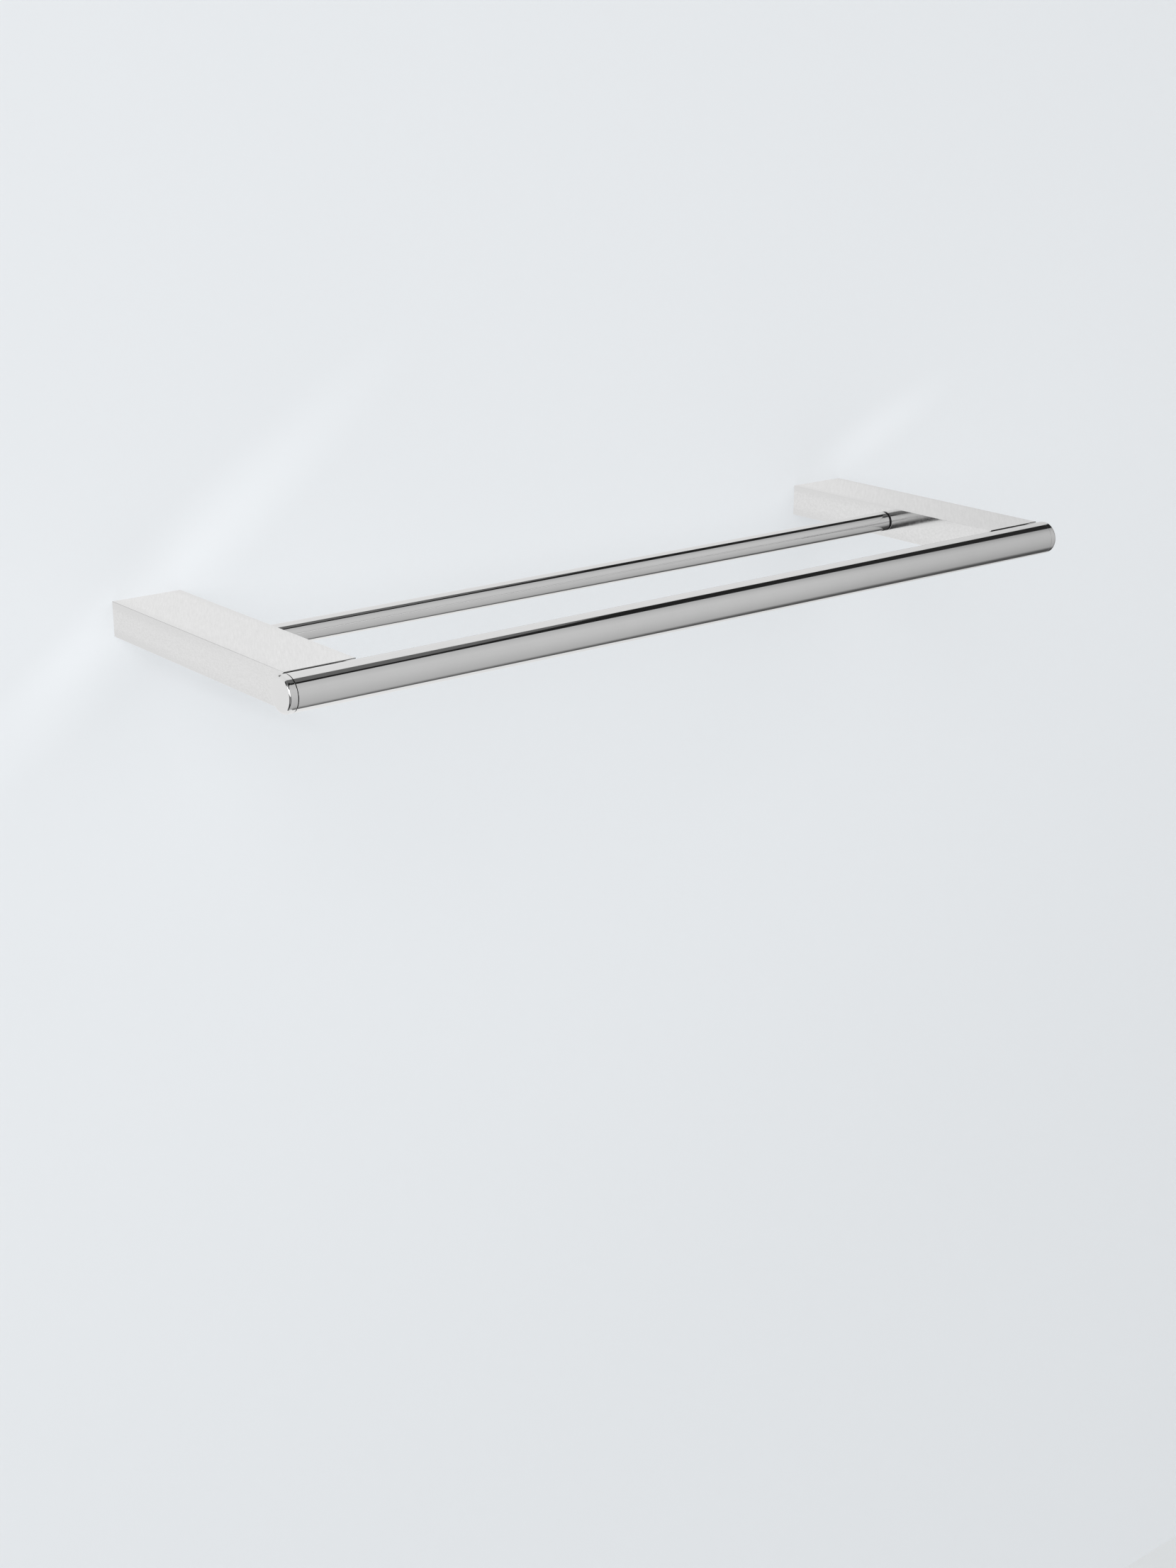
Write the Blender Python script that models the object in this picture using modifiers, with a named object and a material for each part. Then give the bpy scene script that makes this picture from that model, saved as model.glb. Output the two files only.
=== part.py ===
"""A double towel bar for a bathroom wall.

Two hollow cast arms stand out from the wall. A thick front tube lies in a saddle across the end
of each arm, and a thinner rear tube turns on a stud in each arm's inner face. Each arm slips over
an angle plate on the wall and is drawn down on it by a grub screw from below.

The wall is the plane y = 0 and the bar stands in front of it, towards -Y, with +Z up. The origin
is on the wall, midway between the arms and level with both tubes. Lengths are in metres.
"""

import math

import bmesh
import bpy
from mathutils import Matrix, Vector

# Overall sizes
SPAN = 0.600  # outer face to outer face of the arms
FRONT_REACH = 0.1947  # wall to the front tube's axis
REAR_REACH = 0.0915  # wall to the rear tube's axis

# Clearances
SEAT_GAP = 0.0003  # between two pieces that rest on each other

# Front tube
FRONT_DIAMETER = 0.0215
FRONT_TUBE_WALL = 0.0015
FRONT_TUBE_BREAK = 0.0002  # chamfer that breaks a sawn edge

# Rear tube
REAR_DIAMETER = 0.0135
REAR_TUBE_WALL = 0.001
REAR_TUBE_BREAK = 0.00015

# Arms
ARM_WIDTH = 0.0455
ARM_HEIGHT = 0.0215
ARM_WALL = 0.003
ARM_EDGE_RADIUS = 0.0004
ARM_LIP = 0.0003  # blunt edge left above and below the saddle
ARM_WEB = 0.008  # metal between the saddle and the hollow
ARM_CORNER_RADIUS = 0.003  # in the hollow

# End caps
CAP_REACH = 0.0052  # how far a cap stands proud of the arm's outer face
CAP_FILLET = 0.0011
CAP_SPIGOT = 0.010
CAP_SPIGOT_CHAMFER = 0.0008
CAP_GROOVE_WIDTH = 0.0022
CAP_GROOVE_DEPTH = 0.00175
CAP_GROOVE_INSET = 0.003  # tube's end to the groove

# Screw through each saddle, with its lock washer and the nut in the tube
SCREW_DIAMETER = 0.005
SCREW_HEAD_DIAMETER = 0.0085
SCREW_HEAD_HEIGHT = 0.005
SCREW_HEAD_CHAMFER = 0.0004
SCREW_TIP_CHAMFER = 0.0006
SCREW_SOCKET_FLATS = 0.004
SCREW_SOCKET_DEPTH = 0.0025
SCREW_ENGAGEMENT = 0.0048  # length of screw in the nut
WASHER_DIAMETER = 0.009
WASHER_THICKNESS = 0.0012
WASHER_SLIT = 0.0008
NUT_LENGTH = 0.018
NUT_THICKNESS = 0.006

# Stud and bush that the rear tube turns on
STUD_SHANK_DIAMETER = 0.006
STUD_SHANK_LENGTH = 0.010
STUD_JOURNAL_DIAMETER = 0.008
STUD_JOURNAL_LENGTH = 0.014
STUD_CHAMFER = 0.0006
STUD_SOCKET_FLATS = 0.004
STUD_SOCKET_DEPTH = 0.004
BUSH_LENGTH = 0.012
BUSH_FLANGE = 0.0005  # thickness of the flange between the rear tube's end and the arm
BUSH_CHAMFER = 0.0003
BOSS_WALL = 0.003  # round the stud's hole and behind it

# Wall plate and grub screw
PLATE_THICKNESS = 0.0025
PLATE_LEG = 0.014
PLATE_BEND_RADIUS = 0.001
PLATE_CORNER_RADIUS = 0.0006
PLATE_SLOT_WIDTH = 0.005
PLATE_SLOT_LENGTH = 0.008
PLATE_SLOT_SPACING = 0.022
GRUB_DIAMETER = 0.004
GRUB_REACH = 0.008  # wall to the grub screw's axis
GRUB_SINK = 0.0004  # below the arm's underside
GRUB_SOCKET_FLATS = 0.002
GRUB_SOCKET_DEPTH = 0.0016
DIMPLE_DEPTH = 0.0012
DIMPLE_FLOOR_RADIUS = 0.0006

# Cutters run past what they cut by this much
OVERRUN = 0.001

# Facets
TUBE_STEPS = 64
PIN_STEPS = 32
RING_STEPS = 8
CORNER_STEPS = 4
HEX_STEPS = 6
MERGE_DISTANCE = 1e-6

# Sizes that follow from those above
FRONT_RADIUS = FRONT_DIAMETER / 2
FRONT_BORE = FRONT_RADIUS - FRONT_TUBE_WALL
REAR_RADIUS = REAR_DIAMETER / 2
REAR_BORE = REAR_RADIUS - REAR_TUBE_WALL
SADDLE_RADIUS = FRONT_RADIUS + SEAT_GAP
LIP_HEIGHT = ARM_HEIGHT / 2 - ARM_LIP
ARM_REACH = FRONT_REACH - math.sqrt(SADDLE_RADIUS**2 - LIP_HEIGHT**2)
HOLLOW_HEIGHT = ARM_HEIGHT - 2 * ARM_WALL
HOLLOW_WIDTH = ARM_WIDTH - 2 * ARM_WALL
HOLLOW_REACH = FRONT_REACH - SADDLE_RADIUS - ARM_WEB
SCREW_HOLE_RADIUS = SCREW_DIAMETER / 2 + SEAT_GAP
STUD_HOLE_RADIUS = STUD_SHANK_DIAMETER / 2 + SEAT_GAP
STUD_HOLE_DEPTH = STUD_SHANK_LENGTH + SEAT_GAP
GRUB_HOLE_RADIUS = GRUB_DIAMETER / 2 + SEAT_GAP
REAR_END_GAP = BUSH_FLANGE + 2 * SEAT_GAP
END_CENTRE = SPAN / 2 - ARM_WIDTH / 2

# Directions: a turned piece is drawn along its own Z
ALONG_BAR = Vector((1, 0, 0))
FROM_WALL = Vector((0, -1, 0))
UP = Vector((0, 0, 1))
# A section is drawn with X away from the wall and Y up, and its thickness lies along the bars
SECTION = Matrix(((0, 0, -1), (-1, 0, 0), (0, 1, 0))).to_euler()

SIDES = {"left": -1, "right": 1}


def clear_scene():
    for item in list(bpy.data.objects):
        bpy.data.objects.remove(item, do_unlink=True)


def new_collection(name):
    group = bpy.data.collections.new(name)
    bpy.context.scene.collection.children.link(group)
    return group


def finish(name, colour, metallic, roughness):
    """A plain material for one kind of piece."""
    material = bpy.data.materials.new(name)
    material.use_nodes = True
    shader = material.node_tree.nodes["Principled BSDF"]
    shader.inputs["Base Color"].default_value = (*colour, 1)
    shader.inputs["Metallic"].default_value = metallic
    shader.inputs["Roughness"].default_value = roughness
    return material


def along(direction):
    """The rotation that turns a piece's own Z to the given direction."""
    return UP.rotation_difference(direction).to_euler()


def add(name, mesh, group, parent=None, location=(0, 0, 0), rotation=(0, 0, 0)):
    piece = bpy.data.objects.new(name, mesh)
    group.objects.link(piece)
    piece.parent = parent
    piece.location = location
    piece.rotation_euler = rotation
    return piece


def box_mesh(name, low, high):
    """A box between two corners."""
    low, high = Vector(low), Vector(high)
    shape = bmesh.new()
    bmesh.ops.create_cube(shape, size=1)
    bmesh.ops.transform(
        shape,
        matrix=Matrix.Translation((low + high) / 2) @ Matrix.Diagonal((*(high - low), 1)),
        verts=shape.verts,
    )
    mesh = bpy.data.meshes.new(name)
    shape.to_mesh(mesh)
    shape.free()
    return mesh


def rod_mesh(name, radius, bottom, top, steps, top_radius=None):
    """A cylinder about Z, or a cone where the top has a radius of its own."""
    shape = bmesh.new()
    bmesh.ops.create_cone(
        shape,
        cap_ends=True,
        segments=steps,
        radius1=radius,
        radius2=radius if top_radius is None else top_radius,
        depth=top - bottom,
        matrix=Matrix.Translation((0, 0, (top + bottom) / 2)),
    )
    mesh = bpy.data.meshes.new(name)
    shape.to_mesh(mesh)
    shape.free()
    if steps > HEX_STEPS:
        mesh.shade_smooth()
    return mesh


def turned_mesh(name, profile, closed=False):
    """The half section of a turned piece: (radius, height) points, down its outer side."""
    points = [(radius, 0, height) for radius, height in profile]
    edges = [(index, index + 1) for index in range(len(points) - 1)]
    if closed:
        edges.append((len(points) - 1, 0))
    mesh = bpy.data.meshes.new(name)
    mesh.from_pydata(points, edges, [])
    return mesh


def turn(piece, steps):
    """Spins a half section about the piece's own Z."""
    screw = piece.modifiers.new("Turn", "SCREW")
    screw.axis = "Z"
    screw.angle = math.tau
    screw.steps = steps
    screw.render_steps = steps
    screw.use_merge_vertices = True
    screw.merge_threshold = MERGE_DISTANCE
    screw.use_smooth_shade = True
    return piece


def arc(centre, radius, start, end, steps):
    """Points on an arc about (x, y), from one angle to another, both ends included."""
    return [
        (
            centre[0] + radius * math.cos(start + (end - start) * step / steps),
            centre[1] + radius * math.sin(start + (end - start) * step / steps),
        )
        for step in range(steps + 1)
    ]


def rounded(corners):
    """An outline from (x, y, radius) corners, each sharp at radius zero and otherwise an arc."""
    outline = []
    for index, (x, y, radius) in enumerate(corners):
        corner = Vector((x, y))
        if radius == 0:
            outline.append((x, y))
            continue
        before = (Vector(corners[index - 1][:2]) - corner).normalized()
        after = (Vector(corners[(index + 1) % len(corners)][:2]) - corner).normalized()
        half_angle = before.angle(after) / 2
        centre = corner + (before + after).normalized() * (radius / math.sin(half_angle))
        first = corner + before * (radius / math.tan(half_angle)) - centre
        last = corner + after * (radius / math.tan(half_angle)) - centre
        start = math.atan2(first.y, first.x)
        sweep = math.atan2(last.y, last.x) - start
        sweep = (sweep + math.pi) % math.tau - math.pi
        outline.extend(arc(centre, radius, start, start + sweep, CORNER_STEPS))
    return outline


def plate_mesh(name, outline, thickness):
    """A flat outline made solid, half its thickness to each side of its plane."""
    curve = bpy.data.curves.new(name, "CURVE")
    curve.dimensions = "2D"
    curve.fill_mode = "BOTH"
    curve.extrude = thickness / 2
    spline = curve.splines.new("POLY")
    spline.points.add(len(outline) - 1)
    for point, (x, y) in zip(spline.points, outline):
        point.co = (x, y, 0, 1)
    spline.use_cyclic_u = True
    drawing = bpy.data.objects.new(name, curve)
    bpy.context.scene.collection.objects.link(drawing)
    graph = bpy.context.evaluated_depsgraph_get()
    mesh = bpy.data.meshes.new_from_object(drawing.evaluated_get(graph))
    bpy.data.objects.remove(drawing, do_unlink=True)
    shape = bmesh.new()
    shape.from_mesh(mesh)
    bmesh.ops.remove_doubles(shape, verts=shape.verts, dist=MERGE_DISTANCE)
    bmesh.ops.recalc_face_normals(shape, faces=shape.faces)
    shape.to_mesh(mesh)
    shape.free()
    mesh.name = name
    return mesh


def cut(piece, cutter):
    """Takes the cutter's shape out of the piece."""
    cutter.hide_render = True
    cutter.display_type = "WIRE"
    difference = piece.modifiers.new(cutter.name, "BOOLEAN")
    difference.operation = "DIFFERENCE"
    difference.solver = "EXACT"
    difference.object = cutter


def dress(piece, material):
    """Gives a finished piece its material and even shading."""
    piece.data.materials.append(material)
    piece.modifiers.new("Shading", "WEIGHTED_NORMAL")


def hex_radius(flats):
    """Centre to corner of a hexagon, from its size across the flats."""
    return flats / (2 * math.cos(math.pi / HEX_STEPS))


def build_arm(name, side, end, parts, cutters, material):
    """A hollow arm, open at the wall, with the saddle for the front tube across its end."""
    half_width = ARM_WIDTH / 2
    half_height = ARM_HEIGHT / 2

    mesh = box_mesh(name, (-half_width, -ARM_REACH, -half_height), (half_width, 0, half_height))
    shape = bmesh.new()
    shape.from_mesh(mesh)
    long_edges = [
        edge for edge in shape.edges if edge.verts[0].co.y != edge.verts[1].co.y
    ]
    bmesh.ops.bevel(
        shape,
        geom=long_edges,
        offset=ARM_EDGE_RADIUS,
        segments=CORNER_STEPS,
        profile=0.5,
        affect="EDGES",
    )
    shape.to_mesh(mesh)
    shape.free()
    arm = add(name, mesh, parts, end)

    # The hollow leaves a boss on the inner wall for the rear stud
    boss_depth = STUD_HOLE_DEPTH + BOSS_WALL
    boss_half = STUD_HOLE_RADIUS + BOSS_WALL
    corners = [
        (ARM_WALL, -OVERRUN, 0),
        (ARM_WALL, REAR_REACH - boss_half, ARM_CORNER_RADIUS),
        (boss_depth, REAR_REACH - boss_half, ARM_CORNER_RADIUS),
        (boss_depth, REAR_REACH + boss_half, ARM_CORNER_RADIUS),
        (ARM_WALL, REAR_REACH + boss_half, ARM_CORNER_RADIUS),
        (ARM_WALL, HOLLOW_REACH, ARM_CORNER_RADIUS),
        (ARM_WALL + HOLLOW_WIDTH, HOLLOW_REACH, ARM_CORNER_RADIUS),
        (ARM_WALL + HOLLOW_WIDTH, -OVERRUN, 0),
    ]
    outline = [(side * (depth - half_width), -reach) for depth, reach in rounded(corners)]
    hollow = plate_mesh(name + "_hollow", outline, HOLLOW_HEIGHT)
    cut(arm, add(name + "_hollow", hollow, cutters, end))

    saddle = rod_mesh(
        name + "_saddle",
        SADDLE_RADIUS,
        -half_width - OVERRUN,
        half_width + OVERRUN,
        TUBE_STEPS,
    )
    cut(arm, add(name + "_saddle", saddle, cutters, end, FROM_WALL * FRONT_REACH, along(ALONG_BAR)))

    screw_hole = rod_mesh(
        name + "_screw_hole",
        SCREW_HOLE_RADIUS,
        HOLLOW_REACH - OVERRUN,
        FRONT_REACH,
        PIN_STEPS,
    )
    cut(arm, add(name + "_screw_hole", screw_hole, cutters, end, rotation=along(FROM_WALL)))

    stud_hole = rod_mesh(
        name + "_stud_hole",
        STUD_HOLE_RADIUS,
        half_width - STUD_HOLE_DEPTH,
        half_width + OVERRUN,
        PIN_STEPS,
    )
    inward = along(-side * ALONG_BAR)
    cut(arm, add(name + "_stud_hole", stud_hole, cutters, end, FROM_WALL * REAR_REACH, inward))

    grub_hole = rod_mesh(
        name + "_grub_hole",
        GRUB_HOLE_RADIUS,
        -half_height - OVERRUN,
        ARM_WALL + OVERRUN - half_height,
        PIN_STEPS,
    )
    cut(arm, add(name + "_grub_hole", grub_hole, cutters, end, FROM_WALL * GRUB_REACH))
    dress(arm, material)
    return arm


def tube_profile(radius, bore, half_length, chamfer):
    """A tube's wall, with its sawn edges broken, run down the outside and up the bore."""
    return [
        (radius - chamfer, half_length),
        (radius, half_length - chamfer),
        (radius, chamfer - half_length),
        (radius - chamfer, -half_length),
        (bore + chamfer, -half_length),
        (bore, chamfer - half_length),
        (bore, half_length - chamfer),
        (bore + chamfer, half_length),
    ]


def build_front_bar(parts, cutters, material):
    """The thick tube that lies in both saddles, drilled at the back for their screws."""
    profile = tube_profile(FRONT_RADIUS, FRONT_BORE, SPAN / 2, FRONT_TUBE_BREAK)
    axis = FROM_WALL * FRONT_REACH
    bar = add(
        "front_bar",
        turned_mesh("front_bar", profile, closed=True),
        parts,
        location=axis,
        rotation=along(ALONG_BAR),
    )
    turn(bar, TUBE_STEPS)
    for label, side in SIDES.items():
        hole_name = "front_bar_hole_" + label
        hole = rod_mesh(hole_name, SCREW_HOLE_RADIUS, 0, FRONT_DIAMETER, PIN_STEPS)
        place = axis + ALONG_BAR * side * END_CENTRE
        cut(bar, add(hole_name, hole, cutters, None, place, along(-FROM_WALL)))
    dress(bar, material)


def build_rear_bar(parts, material):
    """The thin tube between the arms, which turns on the bushes in its ends."""
    half_length = SPAN / 2 - ARM_WIDTH - REAR_END_GAP
    profile = tube_profile(REAR_RADIUS, REAR_BORE, half_length, REAR_TUBE_BREAK)
    bar = add(
        "rear_bar",
        turned_mesh("rear_bar", profile, closed=True),
        parts,
        location=FROM_WALL * REAR_REACH,
        rotation=along(ALONG_BAR),
    )
    turn(bar, TUBE_STEPS)
    dress(bar, material)


def build_end_cap(name, side, end, parts, material):
    """A turned cap with a rounded rim, pushed into the tube's end on a grooved spigot."""
    spigot = FRONT_BORE - SEAT_GAP
    groove = spigot - CAP_GROOVE_DEPTH
    rim_centre = (FRONT_RADIUS - CAP_FILLET, CAP_REACH - CAP_FILLET)
    profile = [
        (0, CAP_REACH),
        *arc(rim_centre, CAP_FILLET, math.pi / 2, 0, CORNER_STEPS),
        (FRONT_RADIUS, SEAT_GAP),
        (spigot, SEAT_GAP),
        (spigot, -CAP_GROOVE_INSET),
        (groove, -CAP_GROOVE_INSET),
        (groove, -CAP_GROOVE_INSET - CAP_GROOVE_WIDTH),
        (spigot, -CAP_GROOVE_INSET - CAP_GROOVE_WIDTH),
        (spigot, CAP_SPIGOT_CHAMFER - CAP_SPIGOT),
        (spigot - CAP_SPIGOT_CHAMFER, -CAP_SPIGOT),
        (0, -CAP_SPIGOT),
    ]
    place = ALONG_BAR * side * ARM_WIDTH / 2 + FROM_WALL * FRONT_REACH
    cap = add(name, turned_mesh(name, profile), parts, end, place, along(side * ALONG_BAR))
    turn(cap, TUBE_STEPS)
    dress(cap, material)


def build_cap_ring(name, side, end, parts, material):
    """The rubber ring in the cap's groove, which grips the tube's bore."""
    outer = FRONT_BORE - SEAT_GAP
    inner = outer - CAP_GROOVE_DEPTH + SEAT_GAP
    section = (outer - inner) / 2
    middle = -CAP_GROOVE_INSET - CAP_GROOVE_WIDTH / 2
    centre = ((outer + inner) / 2, middle)
    profile = arc(centre, section, math.pi / 2, -3 * math.pi / 2, RING_STEPS)[:-1]
    place = ALONG_BAR * side * ARM_WIDTH / 2 + FROM_WALL * FRONT_REACH
    mesh = turned_mesh(name, profile, closed=True)
    ring = add(name, mesh, parts, end, place, along(side * ALONG_BAR))
    turn(ring, PIN_STEPS)
    dress(ring, material)


def build_saddle_nut(name, end, parts, cutters, material):
    """A nut with a back as round as the tube's bore, which slides into the tube."""
    radius = FRONT_BORE - SEAT_GAP
    half_angle = math.acos((radius - NUT_THICKNESS) / radius)
    outline = arc((-FRONT_REACH, 0), radius, half_angle, -half_angle, 4 * CORNER_STEPS)
    outline = [(-x, y) for x, y in outline]
    nut = add(name, plate_mesh(name, outline, NUT_LENGTH), parts, end, rotation=SECTION)
    hole = rod_mesh(
        name + "_hole",
        SCREW_HOLE_RADIUS,
        FRONT_REACH - FRONT_RADIUS,
        FRONT_REACH,
        PIN_STEPS,
    )
    cut(nut, add(name + "_hole", hole, cutters, end, rotation=along(FROM_WALL)))
    dress(nut, material)


def build_lock_washer(name, end, parts, cutters, material):
    """A split spring washer under the screw's head."""
    low = SEAT_GAP - HOLLOW_REACH
    profile = [
        (WASHER_DIAMETER / 2, low + WASHER_THICKNESS),
        (WASHER_DIAMETER / 2, low),
        (SCREW_HOLE_RADIUS, low),
        (SCREW_HOLE_RADIUS, low + WASHER_THICKNESS),
    ]
    mesh = turned_mesh(name, profile, closed=True)
    washer = add(name, mesh, parts, end, rotation=along(-FROM_WALL))
    turn(washer, PIN_STEPS)
    slit = box_mesh(
        name + "_slit",
        (-WASHER_SLIT / 2, low - OVERRUN, 0),
        (WASHER_SLIT / 2, low + WASHER_THICKNESS + OVERRUN, WASHER_DIAMETER),
    )
    cut(washer, add(name + "_slit", slit, cutters, end))
    dress(washer, material)


def build_saddle_screw(name, end, parts, cutters, material):
    """The socket screw that draws the tube into the saddle from inside the arm."""
    head_seat = HOLLOW_REACH - WASHER_THICKNESS - 2 * SEAT_GAP
    nut_seat = FRONT_REACH - FRONT_BORE + SEAT_GAP
    tip = nut_seat + SCREW_ENGAGEMENT
    head_top = head_seat - SCREW_HEAD_HEIGHT
    radius = SCREW_DIAMETER / 2
    head_radius = SCREW_HEAD_DIAMETER / 2
    profile = [
        (0, tip),
        (radius - SCREW_TIP_CHAMFER, tip),
        (radius, tip - SCREW_TIP_CHAMFER),
        (radius, head_seat),
        (head_radius, head_seat),
        (head_radius, head_top + SCREW_HEAD_CHAMFER),
        (head_radius - SCREW_HEAD_CHAMFER, head_top),
        (0, head_top),
    ]
    screw = add(name, turned_mesh(name, profile), parts, end, rotation=along(FROM_WALL))
    turn(screw, PIN_STEPS)
    socket = rod_mesh(
        name + "_socket",
        hex_radius(SCREW_SOCKET_FLATS),
        head_top - OVERRUN,
        head_top + SCREW_SOCKET_DEPTH,
        HEX_STEPS,
    )
    cut(screw, add(name + "_socket", socket, cutters, end, rotation=along(FROM_WALL)))
    dress(screw, material)


def build_rear_stud(name, side, end, parts, cutters, material):
    """The stud screwed into the arm's boss, with the journal for the rear tube's bush."""
    face = ARM_WIDTH / 2
    shank = STUD_SHANK_DIAMETER / 2
    journal = STUD_JOURNAL_DIAMETER / 2
    shoulder = face + SEAT_GAP
    nose = shoulder + STUD_JOURNAL_LENGTH
    root = face - STUD_SHANK_LENGTH
    profile = [
        (0, nose),
        (journal - STUD_CHAMFER, nose),
        (journal, nose - STUD_CHAMFER),
        (journal, shoulder),
        (shank, shoulder),
        (shank, root + STUD_CHAMFER),
        (shank - STUD_CHAMFER, root),
        (0, root),
    ]
    place = FROM_WALL * REAR_REACH
    inward = along(-side * ALONG_BAR)
    stud = add(name, turned_mesh(name, profile), parts, end, place, inward)
    turn(stud, PIN_STEPS)
    socket = rod_mesh(
        name + "_socket",
        hex_radius(STUD_SOCKET_FLATS),
        nose - STUD_SOCKET_DEPTH,
        nose + OVERRUN,
        HEX_STEPS,
    )
    cut(stud, add(name + "_socket", socket, cutters, end, place, inward))
    dress(stud, material)


def build_rear_bush(name, side, end, parts, material):
    """The flanged sleeve between the stud and the rear tube's bore."""
    near = ARM_WIDTH / 2 + SEAT_GAP
    far = near + BUSH_LENGTH
    outer = REAR_BORE - SEAT_GAP
    flange = REAR_RADIUS - REAR_TUBE_BREAK
    inner = STUD_JOURNAL_DIAMETER / 2 + SEAT_GAP
    profile = [
        (outer - BUSH_CHAMFER, far),
        (outer, far - BUSH_CHAMFER),
        (outer, near + BUSH_FLANGE),
        (flange, near + BUSH_FLANGE),
        (flange, near),
        (inner, near),
        (inner, far),
    ]
    place = FROM_WALL * REAR_REACH
    mesh = turned_mesh(name, profile, closed=True)
    bush = add(name, mesh, parts, end, place, along(-side * ALONG_BAR))
    turn(bush, PIN_STEPS)
    dress(bush, material)


def build_wall_plate(name, side, end, parts, cutters, material):
    """The angle plate on the wall: two slots for its screws and a leg with a dimple below."""
    top = HOLLOW_HEIGHT / 2 - SEAT_GAP
    bottom = -top
    width = HOLLOW_WIDTH - 2 * SEAT_GAP
    corners = [
        (0, top, 0),
        (PLATE_THICKNESS, top, PLATE_CORNER_RADIUS),
        (PLATE_THICKNESS, bottom + PLATE_THICKNESS, PLATE_BEND_RADIUS),
        (PLATE_LEG, bottom + PLATE_THICKNESS, PLATE_CORNER_RADIUS),
        (PLATE_LEG, bottom, PLATE_CORNER_RADIUS),
        (0, bottom, PLATE_BEND_RADIUS + PLATE_THICKNESS),
    ]
    mesh = plate_mesh(name, rounded(corners), width)
    plate = add(name, mesh, parts, end, rotation=SECTION)

    # The slot towards the bars lies flat and the other stands, so the plate can be levelled
    slot_height = (top + bottom + PLATE_THICKNESS + PLATE_BEND_RADIUS) / 2
    straight = PLATE_SLOT_LENGTH - PLATE_SLOT_WIDTH
    for turn_angle, outward in ((0, -side), (math.pi / 2, side)):
        slot_name = name + ("_flat_slot" if outward == -side else "_standing_slot")
        outline = arc((straight / 2, 0), PLATE_SLOT_WIDTH / 2, -math.pi / 2, math.pi / 2, RING_STEPS)
        outline += [(-x, -y) for x, y in outline]
        slot = plate_mesh(slot_name, outline, 2 * PLATE_THICKNESS + OVERRUN)
        place = (outward * PLATE_SLOT_SPACING / 2, 0, slot_height)
        cutter = add(slot_name, slot, cutters, end, place, (math.pi / 2, 0, 0))
        cutter.rotation_euler.rotate_axis("Z", turn_angle)
        cut(plate, cutter)

    dimple = rod_mesh(
        name + "_dimple",
        DIMPLE_FLOOR_RADIUS + DIMPLE_DEPTH + OVERRUN,
        bottom - OVERRUN,
        bottom + DIMPLE_DEPTH,
        PIN_STEPS,
        DIMPLE_FLOOR_RADIUS,
    )
    cut(plate, add(name + "_dimple", dimple, cutters, end, FROM_WALL * GRUB_REACH))
    dress(plate, material)


def build_grub_screw(name, end, parts, cutters, material):
    """The grub screw in the arm's underside, with its cone in the plate's dimple."""
    radius = GRUB_DIAMETER / 2
    foot = GRUB_SINK - ARM_HEIGHT / 2
    dimple_floor = SEAT_GAP - HOLLOW_HEIGHT / 2 + DIMPLE_DEPTH
    tip = dimple_floor - SEAT_GAP
    # The cone lies inside the dimple's by the seat gap, measured square to its side
    tip_radius = DIMPLE_FLOOR_RADIUS + SEAT_GAP - SEAT_GAP * math.sqrt(2)
    profile = [
        (0, tip),
        (tip_radius, tip),
        (radius, tip - (radius - tip_radius)),
        (radius, foot),
        (0, foot),
    ]
    place = FROM_WALL * GRUB_REACH
    grub = add(name, turned_mesh(name, profile), parts, end, place)
    turn(grub, PIN_STEPS)
    socket = rod_mesh(
        name + "_socket",
        hex_radius(GRUB_SOCKET_FLATS),
        foot - OVERRUN,
        foot + GRUB_SOCKET_DEPTH,
        HEX_STEPS,
    )
    cut(grub, add(name + "_socket", socket, cutters, end, place))
    dress(grub, material)


def main():
    clear_scene()
    parts = new_collection("Double towel bar")
    cutters = new_collection("Cutters")

    arm_chrome = finish("Arm chrome", (0.86, 0.86, 0.87), 1, 0.12)
    tube_chrome = finish("Tube chrome", (0.82, 0.82, 0.83), 1, 0.05)
    cap_chrome = finish("Cap chrome", (0.84, 0.84, 0.85), 1, 0.08)
    ring_rubber = finish("Ring rubber", (0.03, 0.03, 0.03), 0, 0.6)
    nut_brass = finish("Nut brass", (0.72, 0.56, 0.28), 1, 0.35)
    screw_steel = finish("Screw steel", (0.55, 0.55, 0.56), 1, 0.3)
    stud_steel = finish("Stud steel", (0.6, 0.6, 0.61), 1, 0.28)
    bush_nylon = finish("Bush nylon", (0.02, 0.02, 0.022), 0, 0.45)
    plate_zinc = finish("Plate zinc", (0.58, 0.6, 0.63), 1, 0.4)

    build_front_bar(parts, cutters, tube_chrome)
    build_rear_bar(parts, tube_chrome)
    for label, side in SIDES.items():
        end = add("end_" + label, None, parts, location=ALONG_BAR * side * END_CENTRE)
        build_arm("arm_" + label, side, end, parts, cutters, arm_chrome)
        build_end_cap("end_cap_" + label, side, end, parts, cap_chrome)
        build_cap_ring("cap_o_ring_" + label, side, end, parts, ring_rubber)
        build_saddle_nut("saddle_nut_" + label, end, parts, cutters, nut_brass)
        build_lock_washer("lock_washer_" + label, end, parts, cutters, screw_steel)
        build_saddle_screw("saddle_screw_" + label, end, parts, cutters, screw_steel)
        build_rear_stud("rear_stud_" + label, side, end, parts, cutters, stud_steel)
        build_rear_bush("rear_bush_" + label, side, end, parts, bush_nylon)
        build_wall_plate("wall_plate_" + label, side, end, parts, cutters, plate_zinc)
        build_grub_screw("grub_screw_" + label, end, parts, cutters, screw_steel)


main()
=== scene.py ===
import math

import bmesh
import bpy
from bpy.props import FloatProperty, FloatVectorProperty, IntProperty, PointerProperty
from bpy.types import NodeSocket, Operator, Panel, PropertyGroup
from mathutils import Matrix, Vector


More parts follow.
